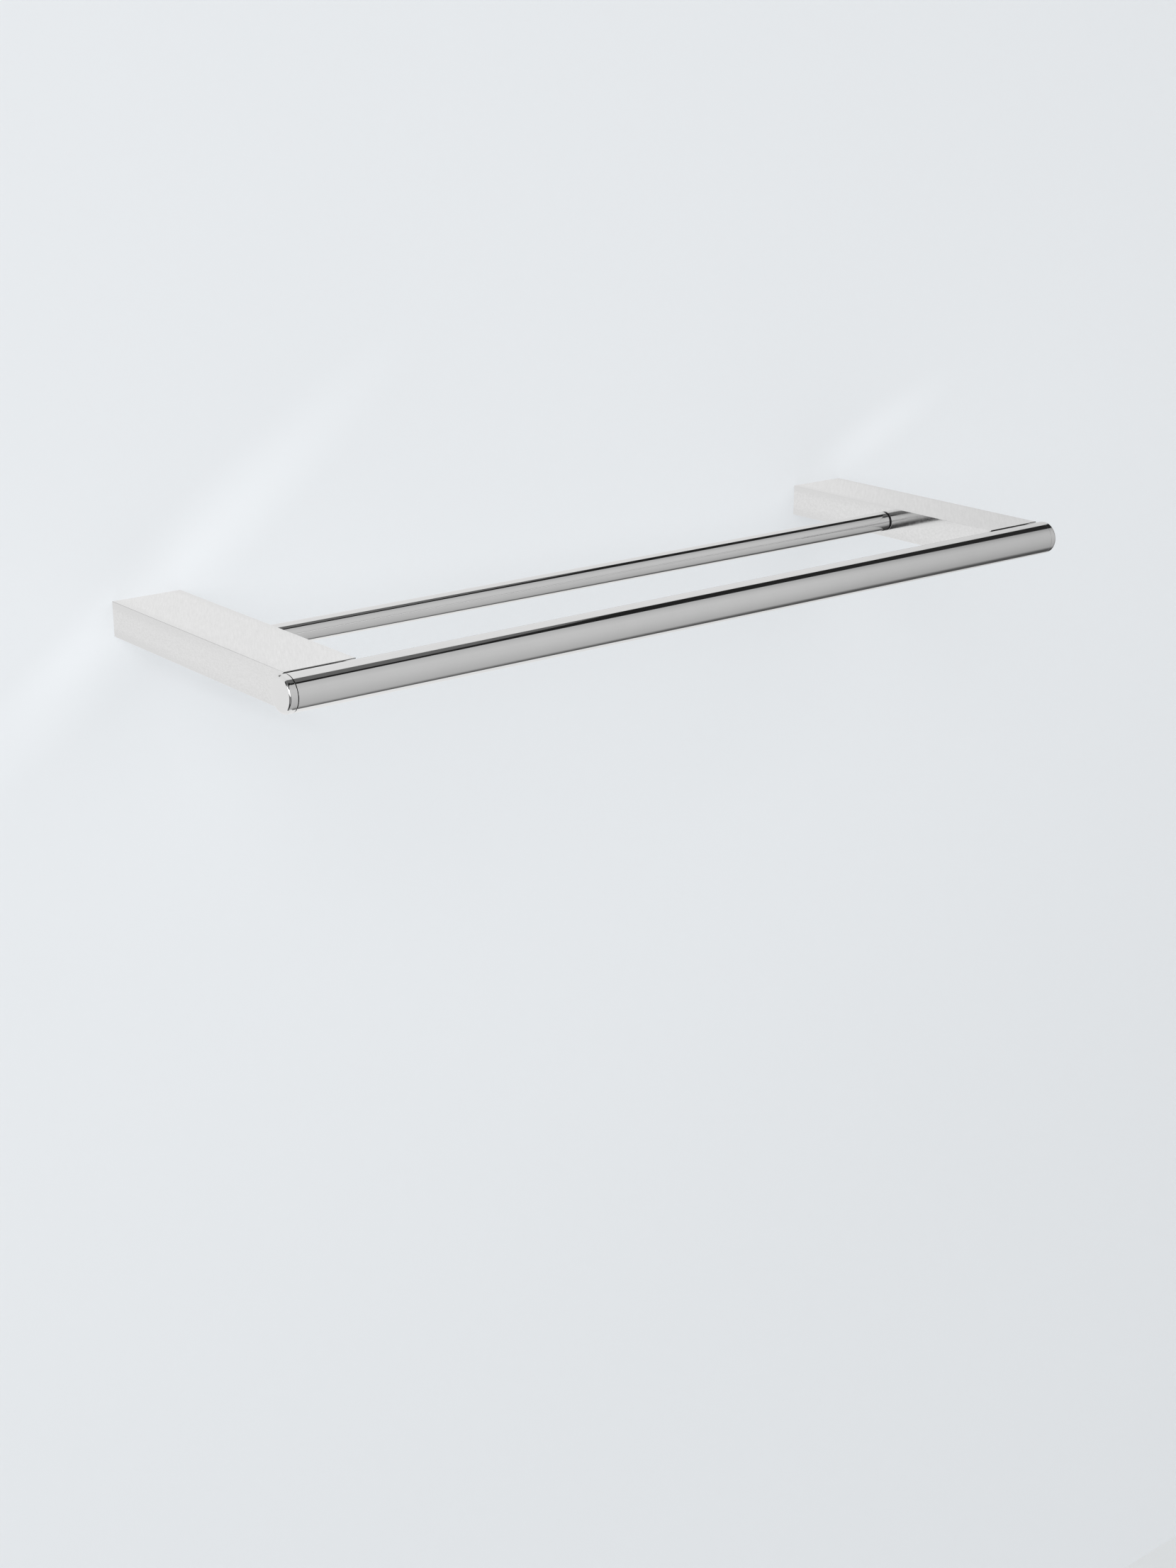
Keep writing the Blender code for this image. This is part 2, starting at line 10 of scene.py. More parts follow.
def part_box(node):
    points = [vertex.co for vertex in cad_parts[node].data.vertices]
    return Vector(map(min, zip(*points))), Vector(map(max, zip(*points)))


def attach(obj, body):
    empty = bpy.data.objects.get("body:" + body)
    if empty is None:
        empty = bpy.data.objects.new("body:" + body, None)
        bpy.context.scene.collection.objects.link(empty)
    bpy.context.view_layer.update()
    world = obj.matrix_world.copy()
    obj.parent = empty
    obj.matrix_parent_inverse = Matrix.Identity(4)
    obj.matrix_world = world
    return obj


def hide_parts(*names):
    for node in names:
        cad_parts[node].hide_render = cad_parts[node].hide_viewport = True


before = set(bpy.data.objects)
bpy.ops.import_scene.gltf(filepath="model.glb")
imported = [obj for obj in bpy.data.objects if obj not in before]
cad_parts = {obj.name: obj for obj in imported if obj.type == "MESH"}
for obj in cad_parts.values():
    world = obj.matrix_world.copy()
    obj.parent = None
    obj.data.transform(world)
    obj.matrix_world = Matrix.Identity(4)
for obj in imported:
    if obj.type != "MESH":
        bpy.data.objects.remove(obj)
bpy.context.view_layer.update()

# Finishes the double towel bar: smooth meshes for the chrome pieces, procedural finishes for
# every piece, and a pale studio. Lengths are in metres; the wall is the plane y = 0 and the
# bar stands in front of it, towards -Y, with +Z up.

bl_info = {
    "name": "Double Towel Bar",
    "version": (1, 0, 0),
    "blender": (4, 5, 0),
    "location": "View3D > Sidebar > Towel Bar",
    "description": "Finishes a chrome double towel bar and sets up its studio",
    "category": "Object",
}

SIDES = {"left": -1, "right": 1}
ALONG_BAR = Vector((1, 0, 0))
FROM_WALL = Vector((0, -1, 0))
UP = Vector((0, 0, 1))


def size_of(node):
    """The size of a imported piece, along each axis."""
    low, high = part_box(node)
    return high - low


def middle_of(node):
    """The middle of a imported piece."""
    low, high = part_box(node)
    return (low + high) / 2


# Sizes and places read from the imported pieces
FRONT_AXIS = middle_of("front_bar")
REAR_AXIS = middle_of("rear_bar")
FRONT_LENGTH = size_of("front_bar").x
REAR_LENGTH = size_of("rear_bar").x
ARM_WIDTH, ARM_REACH, ARM_HEIGHT = size_of("arm_left")
END_CENTRE = middle_of("arm_right").x
CAP_LENGTH = size_of("end_cap_left").x
CAP_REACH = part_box("end_cap_right")[1].x - FRONT_LENGTH / 2

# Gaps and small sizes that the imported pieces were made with
SEAT_GAP = 0.0003
SPIGOT_CHAMFER = 0.0008
GROOVE_WIDTH = 0.0022
GROOVE_DEPTH = 0.00175
GROOVE_INSET = 0.003
ARM_WEB = 0.008
BOSS_WALL = 0.003
SCREW_HOLE = 0.0028
STUD_SHANK = 0.006
STUD_LENGTH = 0.010
GRUB_REACH = 0.008
OVERRUN = 0.001
MERGE_DISTANCE = 1e-6

# Each arm's polishing lines: their direction from straight out of the wall, their width as a
# share of the grain size, and their length
ARM_GRAINS = {
    "left": (math.radians(30.5), 1.0, 0.012),
    "right": (math.radians(46.7), 1.6, 0.022),
}

# How far from an arm's long edges its colour carries painted shade, and how strong that shade is
# at the front, as a share of how strong it is by the wall
EDGE_SHADE_REACH = 0.0065
FRONT_SHADE_SHARE = 0.1

# How much rougher a wipe mark makes an arm, as a share of its mean roughness
SMEAR_SHARE = 0.3

# How deep behind a cap's face its brighter polish begins and is full, how much of that polish
# there is then, and how much of it the turned rings add
CAP_FACE_DEPTHS = (0.0012, 0.0003)
CAP_FACE_SHARE = 0.94
CAP_RING_SHARE = 0.1

# The stage's reach, and its wall's distance behind the object
STAGE_HALF = 4.0
BEHIND = 0.0001

# The two lights: their places, the side of each, and the point on the bar that they face
KEY_PLACE = (-2.2, -1.7, 1.1)
FILL_PLACE = (0.9, -2.6, 1.4)
LIGHT_SIZE = 2.2
LIT_POINT = Vector((0, -0.1, 0))

# Fineness of the meshes
PIN_STEPS = 48
FILLET_STEPS = 10
SADDLE_STEPS = 72
SHARP_ANGLE = math.radians(28)


def length_setting(name, description, default):
    """A length that the user can change."""
    return FloatProperty(name=name, description=description, default=default, unit="LENGTH")


def share_setting(name, description, default):
    """A share of 1 that the user can change."""
    return FloatProperty(
        name=name, description=description, default=default, subtype="FACTOR", min=0, max=1
    )


def colour_setting(name, description, default):
    """A colour that the user can change."""
    return FloatVectorProperty(
        name=name, description=description, default=default, subtype="COLOR", min=0, max=1
    )


def power_setting(name, description, default):
    """A light's power that the user can change."""
    return FloatProperty(name=name, description=description, default=default, unit="POWER")


class TubeSettings(PropertyGroup):
    """Sizes of the two tubes."""

    front_diameter: length_setting(
        "Front tube", "Outer diameter of the thick front tube", size_of("front_bar").z
    )
    front_wall: length_setting("Front tube wall", "Thickness of the front tube's wall", 0.0015)
    rear_diameter: length_setting(
        "Rear tube", "Outer diameter of the thin rear tube", size_of("rear_bar").z
    )
    rear_wall: length_setting("Rear tube wall", "Thickness of the rear tube's wall", 0.001)
    lip: length_setting("Lip", "Rounding on the sawn edges of a tube", 0.00015)
    steps: IntProperty(name="Steps", description="Facets round a tube", default=192, min=16)


class CapSettings(PropertyGroup):
    """Sizes of the caps in the front tube's ends."""

    fillet: length_setting("Fillet", "Rounding of the cap's outer rim", 0.0020)
    left_seam: length_setting(
        "Left seam", "Gap between the left cap's flange and the tube", 0.00038
    )
    right_seam: length_setting(
        "Right seam", "Gap at the right cap, which is pushed in hard against the tube", 0.00005
    )


class ArmSettings(PropertyGroup):
    """Sizes of the cast arms."""

    edge: length_setting("Edge", "Rounding of an arm's long edges", 0.0009)
    crisp_share: share_setting(
        "Crisp share", "Rounding of an arm's other edges, as a share of the long edges'", 0.35
    )
    lip: length_setting(
        "Lip", "Width of the flat ground on the saddle's upper and lower edge", 0.0006
    )
    lip_slope: FloatProperty(
        name="Lip slope",
        description="Angle of that flat's normal above the horizontal, in degrees",
        default=52,
        min=0,
        max=90,
    )
    wall: length_setting("Wall", "Thickness of an arm's walls", 0.003)


class FinishSettings(PropertyGroup):
    """Colours and polish."""

    arm_colour: colour_setting("Arm chrome", "Colour of the arms' plating", (0.93, 0.93, 0.93))
    tube_colour: colour_setting("Tube chrome", "Colour of the tubes' plating", (0.86, 0.86, 0.86))
    arm_roughness: share_setting("Arm roughness", "Mean roughness of the arms' grain", 0.10)
    tube_roughness: share_setting("Tube roughness", "Mean roughness of the tubes and caps", 0.035)
    grain_size: length_setting("Grain size", "Width of a line of the arms' grain", 0.0010)


class StageSettings(PropertyGroup):
    """Camera, wall, floor and lights."""

    lens: FloatProperty(
        name="Lens",
        description="Focal length of the camera",
        default=52.354,
        subtype="DISTANCE_CAMERA",
        unit="CAMERA",
    )
    camera_place: FloatVectorProperty(
        name="Camera",
        description="Place of the camera",
        default=(-0.90221, -1.19165, 0.34611),
        subtype="TRANSLATION",
        unit="LENGTH",
    )
    camera_turn: FloatVectorProperty(
        name="Camera turn",
        description="Rotation of the camera",
        default=(math.radians(71.0593), math.radians(-0.2146), math.radians(-38.8754)),
        subtype="EULER",
        unit="ROTATION",
    )
    wall_colour: colour_setting("Wall", "Colour of the wall behind the bar", (0.789, 0.814, 0.838))
    floor_colour: colour_setting("Floor", "Colour of the floor", (0.76, 0.78, 0.79))
    floor_drop: length_setting("Floor drop", "Height of the bar above the floor", 1.2)
    wall_top: length_setting("Wall top", "Height of the wall above the bar", 2.4)
    evenness: share_setting(
        "Evenness", "How far the wall and floor are evened out for the eye", 0.62
    )
    ambient: share_setting("Ambient", "Brightness of the room as matt surfaces see it", 0.55)
    key_power: power_setting("Key light", "Power of the large light above and to the left", 41.5)
    fill_power: power_setting("Fill light", "Power of the large light in front", 18)


class TowelBarSettings(PropertyGroup):
    """All of the bar's settings."""

    tubes: PointerProperty(type=TubeSettings)
    caps: PointerProperty(type=CapSettings)
    arms: PointerProperty(type=ArmSettings)
    finish: PointerProperty(type=FinishSettings)
    stage: PointerProperty(type=StageSettings)


def settings():
    """The bar's settings."""
    return bpy.context.scene.towel_bar


# Meshes


def new_object(name, data):
    """An object in the scene, from a mesh, a light or a camera."""
    item = bpy.data.objects.new(name, data)
    bpy.context.scene.collection.objects.link(item)
    return item


def along(direction):
    """The rotation that turns a piece's own Z to the given direction."""
    return UP.rotation_difference(direction).to_euler()


def turned_to(direction):
    """The rotation of along(direction), as a matrix."""
    return along(direction).to_matrix().to_4x4()


def arc(centre, radius, start, end, steps):
    """Points on an arc, from one angle to another, both ends included."""
    return [
        (
            centre[0] + radius * math.cos(start + (end - start) * step / steps),
            centre[1] + radius * math.sin(start + (end - start) * step / steps),
        )
        for step in range(steps + 1)
    ]


def smoothed(mesh):
    """The mesh, shaded smooth but for its sharp edges."""
    mesh.shade_smooth()
    mesh.set_sharp_from_angle(angle=SHARP_ANGLE)
    return mesh


def mesh_from(shape, name):
    """Ends a bmesh as a mesh, with its faces turned out."""
    bmesh.ops.recalc_face_normals(shape, faces=shape.faces)
    mesh = bpy.data.meshes.new(name)
    shape.to_mesh(mesh)
    shape.free()
    return smoothed(mesh)


def turned(name, profile, steps, closed=False):
    """A turned mesh about its own Z, from a half section of (radius, height) points."""
    shape = bmesh.new()
    points = [shape.verts.new((radius, 0, height)) for radius, height in profile]
    pairs = list(zip(points, points[1:]))
    if closed:
        pairs.append((points[-1], points[0]))
    edges = [shape.edges.new(pair) for pair in pairs]
    bmesh.ops.spin(
        shape,
        geom=points + edges,
        cent=(0, 0, 0),
        axis=UP,
        angle=math.tau,
        steps=steps,
        use_merge=True,
    )
    bmesh.ops.remove_doubles(shape, verts=shape.verts, dist=MERGE_DISTANCE)
    return mesh_from(shape, name)


def rod(name, radius, bottom, top):
    """A plain cylinder about Z, for a cutter."""
    shape = bmesh.new()
    bmesh.ops.create_cone(
        shape,
        cap_ends=True,
        segments=PIN_STEPS,
        radius1=radius,
        radius2=radius,
        depth=top - bottom,
        matrix=Matrix.Translation((0, 0, (top + bottom) / 2)),
    )
    return mesh_from(shape, name)


def thicken(shape, corners, thickness):
    """Makes a face of the corners and gives it a thickness, which is a vector."""
    grown = bmesh.ops.extrude_face_region(shape, geom=[shape.faces.new(corners)])
    moved = [item for item in grown["geom"] if isinstance(item, bmesh.types.BMVert)]
    bmesh.ops.translate(shape, vec=thickness, verts=moved)


def prism(name, outline, thickness):
    """A flat (x, y) outline made solid, half its thickness above and below."""
    shape = bmesh.new()
    corners = [shape.verts.new((x, y, -thickness / 2)) for x, y in outline]
    thicken(shape, corners, UP * thickness)
    return mesh_from(shape, name)


def result_of(blank, tools=()):
    """The mesh that an object's modifiers make. The object and its tools are taken away."""
    graph = bpy.context.evaluated_depsgraph_get()
    result = bpy.data.meshes.new_from_object(blank.evaluated_get(graph))
    for item in (blank, *tools):
        bpy.data.objects.remove(item, do_unlink=True)
    return result


def carved(mesh, cutters):
    """The mesh with each (cutter mesh, matrix) taken out of it."""
    blank = new_object(mesh.name + "_blank", mesh)
    tools = []
    for number, (shape, matrix) in enumerate(cutters):
        tool = new_object(f"{mesh.name}_cutter_{number}", shape)
        tool.matrix_world = matrix
        cut = blank.modifiers.new(tool.name, "BOOLEAN")
        cut.operation = "DIFFERENCE"
        cut.solver = "EXACT"
        cut.object = tool
        tools.append(tool)
    return smoothed(result_of(blank, tools))


def add_piece(name, mesh, finish, body, node, location, rotation=(0, 0, 0)):
    """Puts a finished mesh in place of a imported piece, on the body that carries it."""
    mesh.materials.clear()
    mesh.materials.append(bpy.data.materials[finish])
    piece = new_object(name, mesh)
    piece.location = location
    piece.rotation_euler = rotation
    normals = piece.modifiers.new("Even shading", "WEIGHTED_NORMAL")
    normals.keep_sharp = True
    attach(piece, body)
    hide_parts(node)


def dress(node, finish):
    """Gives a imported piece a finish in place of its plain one."""
    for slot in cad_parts[node].material_slots:
        slot.material = bpy.data.materials[finish]


# Node groups


# The part of a noise that is stretched over 0 to 1, and the part that leaves only faint marks
NOISE_RANGE = (0.3, 0.7)
MARK_RANGE = (0.42, 0.68)

# How patchy and how soft the rubbed edges are, as shares of the shader's pointiness
RUB_UNEVENNESS = 0.08
RUB_SOFTNESS = 0.06


def new_group(name, vector, numbers, outputs):
    """A shader group with a vector and some numbers in and some numbers out."""
    group = bpy.data.node_groups.new(name, "ShaderNodeTree")
    group.interface.new_socket(vector, in_out="INPUT", socket_type="NodeSocketVector")
    for label, default in numbers.items():
        socket = group.interface.new_socket(label, in_out="INPUT", socket_type="NodeSocketFloat")
        socket.default_value = default
    for label in outputs:
        group.interface.new_socket(label, in_out="OUTPUT", socket_type="NodeSocketFloat")
    start = group.nodes.new("NodeGroupInput")
    end = group.nodes.new("NodeGroupOutput")
    return group, start, end


def plug(tree, socket, value):
    """Links an input to another node's output, or sets it to a number, vector or colour."""
    if isinstance(value, NodeSocket):
        tree.links.new(value, socket)
    else:
        socket.default_value = value


def feed(tree, node, **values):
    """Plugs a value into each input that is named."""
    for label, value in values.items():
        plug(tree, node.inputs[label.replace("_", " ").title()], value)


def fill(tree, node, *values):
    """Plugs the values into a node's first inputs, in their order."""
    for socket, value in zip(node.inputs, values):
        plug(tree, socket, value)


def axes(tree, vector):
    """The x, y and z of a vector."""
    node = tree.nodes.new("ShaderNodeSeparateXYZ")
    feed(tree, node, vector=vector)
    return [node.outputs[axis] for axis in "XYZ"]


def maths(tree, operation, first, second=0.0):
    """A Math node with each operand a socket or a number."""
    node = tree.nodes.new("ShaderNodeMath")
    node.operation = operation
    fill(tree, node, first, second)
    return node.outputs["Value"]


def product(tree, first, *others):
    """Sockets and numbers multiplied together."""
    for other in others:
        first = maths(tree, "MULTIPLY", first, other)
    return first


def spread(tree, value, low, high, new_low=0.0, new_high=1.0):
    """A Map Range node from one pair of limits to another, each a socket or a number."""
    node = tree.nodes.new("ShaderNodeMapRange")
    feed(tree, node, value=value, from_min=low, from_max=high, to_min=new_low, to_max=new_high)
    return node.outputs["Result"]


def between(tree, factor, low, high):
    """A number that runs from one to another with a factor, each a socket or a number."""
    node = tree.nodes.new("ShaderNodeMix")
    feed(tree, node, factor=factor, a=low, b=high)
    return node.outputs["Result"]


def noise(tree, place, scale, detail, roughness, distortion=0.0):
    """A cloudy value from 0 to 1, most of it in NOISE_RANGE."""
    node = tree.nodes.new("ShaderNodeTexNoise")
    feed(tree, node, vector=place, scale=scale, detail=detail)
    feed(tree, node, roughness=roughness, distortion=distortion)
    return node.outputs["Fac"]


def grain_group():
    """Fine lines left by a polishing belt: thin across and down the piece, long along it."""
    numbers = {"Line Width": 0.0006, "Line Length": 0.008, "Angle": 0.0}
    group, start, end = new_group("Polishing grain", "Vector", numbers, ["Grain", "Patches"])
    turn = group.nodes.new("ShaderNodeVectorRotate")
    turn.rotation_type = "Z_AXIS"
    feed(group, turn, vector=start.outputs["Vector"], angle=start.outputs["Angle"])
    across = maths(group, "DIVIDE", 1.0, start.outputs["Line Width"])
    length = maths(group, "DIVIDE", 1.0, start.outputs["Line Length"])
    scale = group.nodes.new("ShaderNodeCombineXYZ")
    feed(group, scale, x=across, y=length, z=across)
    stretch = group.nodes.new("ShaderNodeVectorMath")
    stretch.operation = "MULTIPLY"
    fill(group, stretch, turn.outputs["Vector"], scale.outputs["Vector"])
    lines = noise(group, stretch.outputs["Vector"], scale=1.0, detail=4.0, roughness=0.62)
    patches = noise(group, start.outputs["Vector"], scale=60.0, detail=2.0, roughness=0.5)
    feed(group, end, grain=spread(group, lines, *NOISE_RANGE))
    feed(group, end, patches=spread(group, patches, *NOISE_RANGE))


def wipe_group():
    """Soft, faint marks where a surface was last wiped."""
    group, start, end = new_group("Wipe marks", "Vector", {"Scale": 25.0}, ["Marks"])
    vector, scale = (start.outputs[label] for label in ("Vector", "Scale"))
    soft = noise(group, vector, scale, detail=5.0, roughness=0.55, distortion=0.8)
    feed(group, end, marks=spread(group, soft, *MARK_RANGE))


def rings_group():
    """Fine rings left by a lathe, about the piece's own Z."""
    group, start, end = new_group("Turned rings", "Vector", {"Pitch": 0.0002}, ["Rings"])
    x, y, z = axes(group, start.outputs["Vector"])
    square = maths(group, "ADD", product(group, x, x), product(group, y, y))
    reach = maths(group, "ADD", maths(group, "SQRT", square), z)
    turns = maths(group, "DIVIDE", reach, start.outputs["Pitch"])
    seed = group.nodes.new("ShaderNodeTexNoise")
    seed.noise_dimensions = "1D"
    feed(group, seed, w=turns, scale=1.0, detail=3.0)
    feed(group, end, rings=spread(group, seed.outputs["Fac"], *NOISE_RANGE))


def worn_group():
    """Outer edges rubbed bright."""
    group, start, end = new_group("Rubbed edges", "Vector", {"Reach": 0.56}, ["Rubbed"])
    pointed = group.nodes.new("ShaderNodeNewGeometry").outputs["Pointiness"]
    patchy = noise(group, start.outputs["Vector"], scale=400.0, detail=3.0, roughness=0.6)
    edge = maths(group, "ADD", pointed, product(group, patchy, RUB_UNEVENNESS))
    reach = start.outputs["Reach"]
    full = maths(group, "ADD", reach, RUB_SOFTNESS)
    feed(group, end, rubbed=spread(group, edge, reach, full))


# Materials


def new_material(name, metallic=0.0):
    """A material with its Principled shader and the piece's own coordinates."""
    material = bpy.data.materials.new(name)
    material.use_nodes = True
    tree = material.node_tree
    shader = tree.nodes["Principled BSDF"]
    shader.inputs["Metallic"].default_value = metallic
    place = tree.nodes.new("ShaderNodeTexCoord").outputs["Object"]
    return tree, shader, place


def use_group(tree, name, output, place, **values):
    """Places a node group, sets its numbers and gives one of its outputs."""
    node = tree.nodes.new("ShaderNodeGroup")
    node.node_tree = bpy.data.node_groups[name]
    feed(tree, node, vector=place, **values)
    return node.outputs[output]


def surface(tree, shader, colour, roughness, height, depth):
    """Gives a shader its colour, its roughness and a fine relief of the given depth."""
    relief = tree.nodes.new("ShaderNodeBump")
    feed(tree, relief, height=height, distance=depth, strength=1.0)
    feed(tree, shader, base_color=colour, roughness=roughness, normal=relief.outputs["Normal"])


def solid(colour):
    """A colour as a colour socket takes it."""
    return colour if isinstance(colour, NodeSocket) else (*colour, 1)


def tint(tree, factor, low, high):
    """A colour that runs from one to another with a mask, each a socket or a colour."""
    node = tree.nodes.new("ShaderNodeMix")
    node.data_type = "RGBA"
    feed(tree, node, factor=factor, a=solid(low), b=solid(high))
    return node.outputs["Result"]


def shades(tree, mask, colour, darkest, lightest):
    """A colour that a mask makes darker or lighter, between two shares of it."""
    dark, light = (
        tuple(min(1.0, channel * share) for channel in colour) for share in (darkest, lightest)
    )
    return tint(tree, mask, dark, light)


def polish(tree, mask, roughness, smoothest, roughest):
    """A roughness that follows a mask, between two shares of its mean."""
    return spread(tree, mask, 0.0, 1.0, roughness * smoothest, roughness * roughest)


def painted_edge_shade(tree, place):
    """How much painted shade darkens an arm's colour by its long edges, most of all towards the
    wall.
    """
    x, y, z = axes(tree, place)
    aside = maths(tree, "ADD", maths(tree, "ABSOLUTE", x), maths(tree, "ABSOLUTE", z))
    edge = (ARM_WIDTH + ARM_HEIGHT) / 2
    near = spread(tree, aside, edge - EDGE_SHADE_REACH, edge)
    back = spread(tree, y, -ARM_REACH, 0.0, FRONT_SHADE_SHARE, 1.0)
    return product(tree, near, back)


def arm_chrome(side, angle, coarseness, line_length):
    """Bright plating over the very fine grain of an arm polished by hand, with painted shade by
    its long edges.
    """
    finish = settings().finish
    tree, shader, place = new_material("Arm chrome " + side, metallic=1.0)
    width = finish.grain_size * coarseness
    lines = {"line_width": width, "line_length": line_length, "angle": angle}
    grain = use_group(tree, "Polishing grain", "Grain", place, **lines)
    marks = use_group(tree, "Wipe marks", "Marks", place, scale=30.0)
    # The grain's tone, darkened by painted shade along the long edges
    mask = maths(tree, "SUBTRACT", grain, painted_edge_shade(tree, place))
    base = finish.arm_roughness
    smeared = product(tree, marks, base * SMEAR_SHARE)
    surface(
        tree,
        shader,
        shades(tree, mask, finish.arm_colour, darkest=0.945, lightest=1.045),
        maths(tree, "ADD", polish(tree, grain, base, smoothest=0.8, roughest=1.2), smeared),
        height=grain,
        depth=0.0000015,
    )


def tube_chrome():
    """Mirror plating over a drawn tube."""
    finish = settings().finish
    tree, shader, place = new_material("Tube chrome", metallic=1.0)
    marks = use_group(tree, "Wipe marks", "Marks", place, scale=40.0)
    patches = use_group(tree, "Polishing grain", "Patches", place)
    surface(
        tree,
        shader,
        shades(tree, patches, finish.tube_colour, darkest=0.99, lightest=1.01),
        polish(tree, marks, finish.tube_roughness, smoothest=1.0, roughest=2.0),
        height=patches,
        depth=0.000006,
    )


def cap_chrome():
    """Mirror plating over a turned cap, brighter on its flat face."""
    finish = settings().finish
    tree, shader, place = new_material("Cap chrome", metallic=1.0)
    rings = use_group(tree, "Turned rings", "Rings", place, pitch=0.00035)
    marks = use_group(tree, "Wipe marks", "Marks", place, scale=60.0)
    outward = axes(tree, place)[2]
    limits = [CAP_REACH - depth for depth in CAP_FACE_DEPTHS]
    face = spread(tree, outward, *limits, 0.0, CAP_FACE_SHARE)
    mask = maths(tree, "ADD", face, product(tree, rings, CAP_RING_SHARE))
    surface(
        tree,
        shader,
        tint(tree, mask, finish.tube_colour, finish.arm_colour),
        polish(tree, marks, finish.tube_roughness, smoothest=1.2, roughest=2.2),
        height=rings,
        depth=0.000001,
    )


def metal(name, colour, roughness, pitch, rubbed_colour):
    """Plain turned or pressed metal, with tool marks and rubbed edges."""
    tree, shader, place = new_material(name, metallic=1.0)
    rings = use_group(tree, "Turned rings", "Rings", place, pitch=pitch)
    rubbed = use_group(tree, "Rubbed edges", "Rubbed", place)
    marks = use_group(tree, "Wipe marks", "Marks", place, scale=120.0)
    plain = shades(tree, marks, colour, darkest=0.88, lightest=1.06)
    surface(
        tree,
        shader,
        tint(tree, rubbed, plain, rubbed_colour),
        polish(tree, marks, roughness, smoothest=0.8, roughest=1.25),
        height=rings,
        depth=0.000008,
    )


def zinc():
    """Zinc plating with its crystals and a faint blue cast."""
    tree, shader, place = new_material("Plate zinc", metallic=1.0)
    crystals = tree.nodes.new("ShaderNodeTexVoronoi")
    feed(tree, crystals, vector=place, scale=700.0)
    grey = tree.nodes.new("ShaderNodeSeparateColor")
    feed(tree, grey, color=crystals.outputs["Color"])
    rubbed = use_group(tree, "Rubbed edges", "Rubbed", place)
    marks = use_group(tree, "Wipe marks", "Marks", place, scale=90.0)
    plain = tint(tree, grey.outputs["Red"], (0.50, 0.53, 0.57), (0.60, 0.63, 0.66))
    surface(
        tree,
        shader,
        tint(tree, rubbed, plain, (0.72, 0.73, 0.74)),
        spread(tree, marks, 0.0, 1.0, new_low=0.30, new_high=0.46),
        height=grey.outputs["Green"],
        depth=0.000006,
    )


def moulded(name, colour, roughness, size):
    """Moulded nylon or rubber with a fine skin."""
    tree, shader, place = new_material(name)
    skin = noise(tree, place, scale=1 / size, detail=4.0, roughness=0.6)
    surface(
        tree,
        shader,
        shades(tree, skin, colour, darkest=0.7, lightest=1.4),
        spread(tree, skin, *NOISE_RANGE, new_low=roughness * 0.85, new_high=roughness * 1.15),
        height=skin,
        depth=0.00002,
    )


# Pieces


class TOWELBAR_OT_finishes(Operator):
    """Make the shared node groups and every finish"""

    bl_idname = "towel_bar.finishes"
    bl_label = "Finishes"

    def execute(self, context):
        grain_group()
        wipe_group()
        rings_group()
        worn_group()
        for side, grain in ARM_GRAINS.items():
            arm_chrome(side, *grain)
        tube_chrome()
        cap_chrome()
        zinc()
        metal("Nut brass", (0.72, 0.55, 0.27), 0.32, 0.00025, (0.86, 0.72, 0.45))
        metal("Screw steel", (0.50, 0.50, 0.51), 0.28, 0.00018, (0.70, 0.70, 0.70))
        metal("Stud steel", (0.58, 0.58, 0.59), 0.24, 0.00015, (0.74, 0.74, 0.74))
        moulded("Bush nylon", (0.016, 0.016, 0.018), 0.45, 0.0003)
        moulded("Ring rubber", (0.022, 0.022, 0.022), 0.62, 0.0002)
        return {"FINISHED"}


def tube_mesh(name, diameter, wall, length, stops=()):
    """A tube with rounded lips, and with a ring of points at each stop along it."""
    tubes = settings().tubes
    lip = tubes.lip
    quarter = math.pi / 2
    radius = diameter / 2
    bore = radius - wall
    outer = radius - lip
    inner = bore + lip
    end = length / 2 - lip
    profile = arc((outer, end), lip, quarter, 0, FILLET_STEPS)
    profile += [(radius, stop) for stop in sorted(stops, reverse=True)]
    profile += arc((outer, -end), lip, 0, -quarter, FILLET_STEPS)
    profile += arc((inner, -end), lip, -quarter, -2 * quarter, FILLET_STEPS)
    profile += [(bore, stop) for stop in sorted(stops)]
    profile += arc((inner, end), lip, 2 * quarter, quarter, FILLET_STEPS)
    return turned(name, profile, tubes.steps, closed=True)


class TOWELBAR_OT_front_tube(Operator):
    """Make the thick front tube, drilled at the back for the saddle screws"""

    bl_idname = "towel_bar.front_tube"
    bl_label = "Front tube"

    def execute(self, context):
        tubes = settings().tubes
        diameter = tubes.front_diameter
        stops = [
            side * END_CENTRE + edge * ARM_WIDTH / 2
            for side in SIDES.values()
            for edge in (-1 / 4, 1 / 4)
        ]
        mesh = tube_mesh("front_tube", diameter, tubes.front_wall, FRONT_LENGTH, stops)
        to_wall = along(ALONG_BAR).to_matrix().inverted() @ -FROM_WALL
        drill = rod("drill", SCREW_HOLE, 0, diameter)
        drills = [
            (drill, Matrix.Translation((0, 0, side * END_CENTRE)) @ turned_to(to_wall))
            for side in SIDES.values()
        ]
        add_piece(
            "front_tube",
            carved(mesh, drills),
            "Tube chrome",
            "frame",
            "front_bar",
            FRONT_AXIS,
            along(ALONG_BAR),
        )
        return {"FINISHED"}


class TOWELBAR_OT_rear_tube(Operator):
    """Make the thin rear tube that turns between the arms"""

    bl_idname = "towel_bar.rear_tube"
    bl_label = "Rear tube"

    def execute(self, context):
        tubes = settings().tubes
        add_piece(
            "rear_tube",
            tube_mesh("rear_tube", tubes.rear_diameter, tubes.rear_wall, REAR_LENGTH),
            "Tube chrome",
            "rear_rail",
            "rear_bar",
            REAR_AXIS,
            along(ALONG_BAR),
        )
        return {"FINISHED"}


